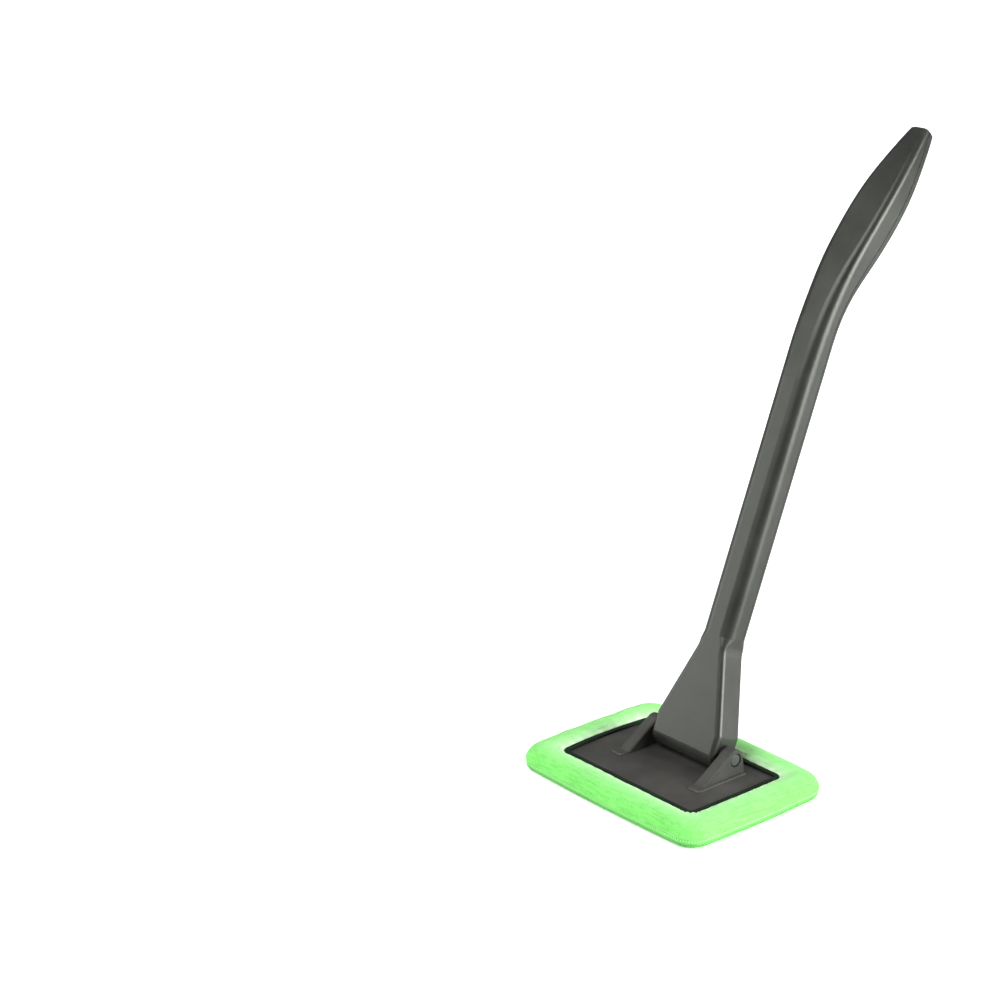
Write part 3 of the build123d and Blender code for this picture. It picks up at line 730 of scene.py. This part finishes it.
def makeElastic():
    # Ribbed tape that lies on the plate just inside the opening
    inset = hemGap + elastic["width"] / 2
    loop = resampled(innerLoop - outward(innerLoop) * inset, elastic["spacing"])
    section = roundedSection(elastic["width"], elastic["height"], elastic["round"], elastic["sides"])
    height = plateTop + elastic["lift"] + elastic["ribHeight"] + elastic["height"] / 2
    piece = sweptRing("hem_binding", loop, section, height, darkTapeAndGapShade,
                      elastic["ribPitch"], elastic["ribHeight"])
    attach(piece, "head")
    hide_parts("hem_elastic")


makeElastic()
print("elastic made")

stitching = dict(inset=2.8 * mm, pitch=2.9 * mm, length=2.1 * mm, radius=0.24 * mm, sides=6, rings=6,
                 arch=0.10 * mm, height=12.0 * mm, blunt=0.02)


def makeStitches():
    # Each stitch is a short thread along the hem, on the waves of the border and arched over the pile. Its
    # radius goes with the root of a little over one, less the squared place along it, so its ends are blunt
    centres = resampled(innerLoop + outward(innerLoop) * stitching["inset"], stitching["pitch"])
    count, rings, sides = len(centres), stitching["rings"], stitching["sides"]
    out = outward(centres)
    along = np.stack([-out[:, 1], out[:, 0]], 1)
    t = np.linspace(-1, 1, rings)
    turn = np.linspace(0, 2 * math.pi, sides, endpoint=False)
    radius = stitching["radius"] * np.sqrt(1 + stitching["blunt"] - t ** 2)
    run = centres[:, None, :] + along[:, None, :] * (t * stitching["length"] / 2)[None, :, None]
    ground = np.concatenate([centres, np.full((count, 1), stitching["height"])], 1)
    wave = bonnet["waveHeight"] * softField(ground, bonnet["wave"], seeds["wave"])
    rise = stitching["height"] + wave[:, None] + stitching["arch"] * (1 - t ** 2)[None, :]
    line = np.concatenate([run, rise[..., None]], 2)
    side = np.concatenate([out, np.zeros((count, 1))], 1)
    ring = (side[:, None, None, :] * np.cos(turn)[None, None, :, None]
            + np.array([0, 0, 1.0]) * np.sin(turn)[None, None, :, None])
    points = line[:, :, None, :] + ring * radius[None, :, None, None]

    starts = np.arange(count)[:, None] * rings * sides
    quads = (starts[:, None] + gridQuads(rings, sides, closeRows=False)[None]).reshape(-1, 4)
    firstRing = np.arange(sides)
    lastRing = firstRing + (rings - 1) * sides
    caps = np.stack([starts + firstRing[::-1], starts + lastRing], 1).reshape(-1, sides)
    runs = np.broadcast_to((t * stitching["length"])[None, :, None], points.shape[:3]).ravel()
    piece = makePiece("hem_stitches", points.reshape(-1, 3), quads, caps=caps, attributes=dict(run=runs))
    piece.data.materials.append(hemThread)
    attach(piece, "head")


makeStitches()
print("stitches made")

seamCord = dict(radius=0.45 * mm, inset=0.65 * mm, spacing=0.5 * mm, sides=10,
                twistPitch=1.5 * mm, twist=0.06 * mm)


def makeSeam():
    # Twisted pale thread in the pinch between the border and the face, also a painted highlight along the
    # border's lower bulge
    loop = resampled(outerLoop - outward(outerLoop) * seamCord["inset"], seamCord["spacing"])
    section = roundedSection(2 * seamCord["radius"], 2 * seamCord["radius"], 2, seamCord["sides"])
    piece = sweptRing("rim_seam", loop, section, seamHeight, seamThreadAndHighlight,
                      seamCord["twistPitch"], seamCord["twist"])
    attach(piece, "head")


makeSeam()
print("rim seam made")

foam = dict(spacing=1.5 * mm, edge=0.8 * mm, cornerRadius=3.4 * mm, inset=0.15 * mm,
            porePitch=2 * mm, poreHeight=0.1 * mm)


def makeFoam():
    # Slab with eased edges, a hair inside its own solid, with dents for pores in its lower face
    edge, inset = foam["edge"], foam["inset"]
    halfX, halfY = foamHigh.x - inset - edge, foamHigh.y - inset - edge
    thick = foamHigh.z - foamLow.z - 2 * inset
    rise = quarterRise(edge, edge / 3)
    rise += [(edge, thick - edge), (0.7 * edge, thick - 0.3 * edge), (0, thick)]
    points, quads, cap, fieldCount = slabArrays(halfX, halfY, foam["cornerRadius"], 0, foam["spacing"], rise)
    points[:, 2] += foamLow.z + inset
    pores = pileField(points[:fieldCount], foam["porePitch"], seeds["foamPile"])
    points[:fieldCount, 2] += foam["poreHeight"] * pores
    piece = makePiece("foam_core", points, quads, caps=[cap])
    piece.data.materials.append(paleFoam)
    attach(piece, "head")
    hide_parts("foam_pad")


makeFoam()
print("foam made")


# Studio. The floor glows like the sky for the camera, less so near the object, and hardly in reflections

studio = dict(
    floorHalf=8.0, floorTone=0.86, floorNear=0.50, floorFar=1.0, nearReach=0.12, farReach=0.60,
    floorMirrored=0.06, floorRoughness=0.5, skyAmbient=0.12, skySeen=1.0, lampAim=(0, 0.08, 0.12),
)
lamps = dict(
    right=dict(place=(1.72, 0.76, 0.32), size=1.25, power=68),
    top=dict(place=(-0.35, -1.20, 1.60), size=1.5, power=36),
    back=dict(place=(0.25, 1.15, 1.60), size=1.4, power=12),
    left=dict(place=(-1.45, -1.15, 0.36), size=0.8, power=9),
)


def makeLamp(name, place, size, power):
    # Square lamp turned from straight down towards the aim
    data = bpy.data.lights.new(name, "AREA")
    data.shape = "SQUARE"
    data.size = size
    data.energy = power
    lamp = bpy.data.objects.new(name, data)
    bpy.context.scene.collection.objects.link(lamp)
    lamp.location = place
    aim = np.array(studio["lampAim"]) - np.array(place)
    tilt = math.acos(-aim[2] / np.linalg.norm(aim))
    lamp.rotation_euler = (tilt, 0, math.atan2(aim[1], aim[0]) - math.pi / 2)


for lampName, lamp in lamps.items():
    makeLamp(lampName, **lamp)


def seenPlainly(nodes, links):
    # 1 for a ray straight from the camera or through something clear, else 0
    path = nodes.new("ShaderNodeLightPath")
    kinds = path.outputs["Is Camera Ray"], path.outputs["Is Transmission Ray"]
    return mathOf(nodes, links, "MAXIMUM", *kinds)


def makeFloor():
    # Plain floor with a glow added, which grows evenly with the distance between the near and the far reach
    half, tone = studio["floorHalf"], studio["floorTone"]
    points = np.array([(-half, -half, 0), (half, -half, 0), (half, half, 0), (-half, half, 0)])
    floor = makePiece("studioFloor", points, np.array([[0, 1, 2, 3]]), smooth=False)
    material, nodes, links, shader = newMaterial("studioFloor")
    feed(links, shader.inputs["Base Color"], (tone, tone, tone))
    feed(links, shader.inputs["Roughness"], studio["floorRoughness"])
    away = nodes.new("ShaderNodeVectorMath")
    away.operation = "LENGTH"
    links.new(objectPlace(nodes), away.inputs[0])
    graded = spread(nodes, links, away.outputs["Value"], studio["floorNear"], studio["floorFar"],
                    studio["nearReach"], studio["farReach"])
    glow = nodes.new("ShaderNodeEmission")
    links.new(spread(nodes, links, seenPlainly(nodes, links), studio["floorMirrored"], graded),
              glow.inputs["Strength"])
    both = nodes.new("ShaderNodeAddShader")
    links.new(shader.outputs["BSDF"], both.inputs[0])
    links.new(glow.outputs["Emission"], both.inputs[1])
    links.new(both.outputs["Shader"], nodes["Material Output"].inputs["Surface"])
    floor.data.materials.append(material)


def makeSky():
    # White all round, at full strength for the camera and faint as light
    world = bpy.data.worlds.new("studioSky")
    world.use_nodes = True
    bpy.context.scene.world = world
    nodes, links = world.node_tree.nodes, world.node_tree.links
    background = nodes["Background"].inputs
    feed(links, background["Color"], white)
    links.new(spread(nodes, links, seenPlainly(nodes, links), studio["skyAmbient"], studio["skySeen"]),
              background["Strength"])


makeFloor()
makeSky()
bpy.context.scene.view_settings.view_transform = "Standard"
print("studio lit")
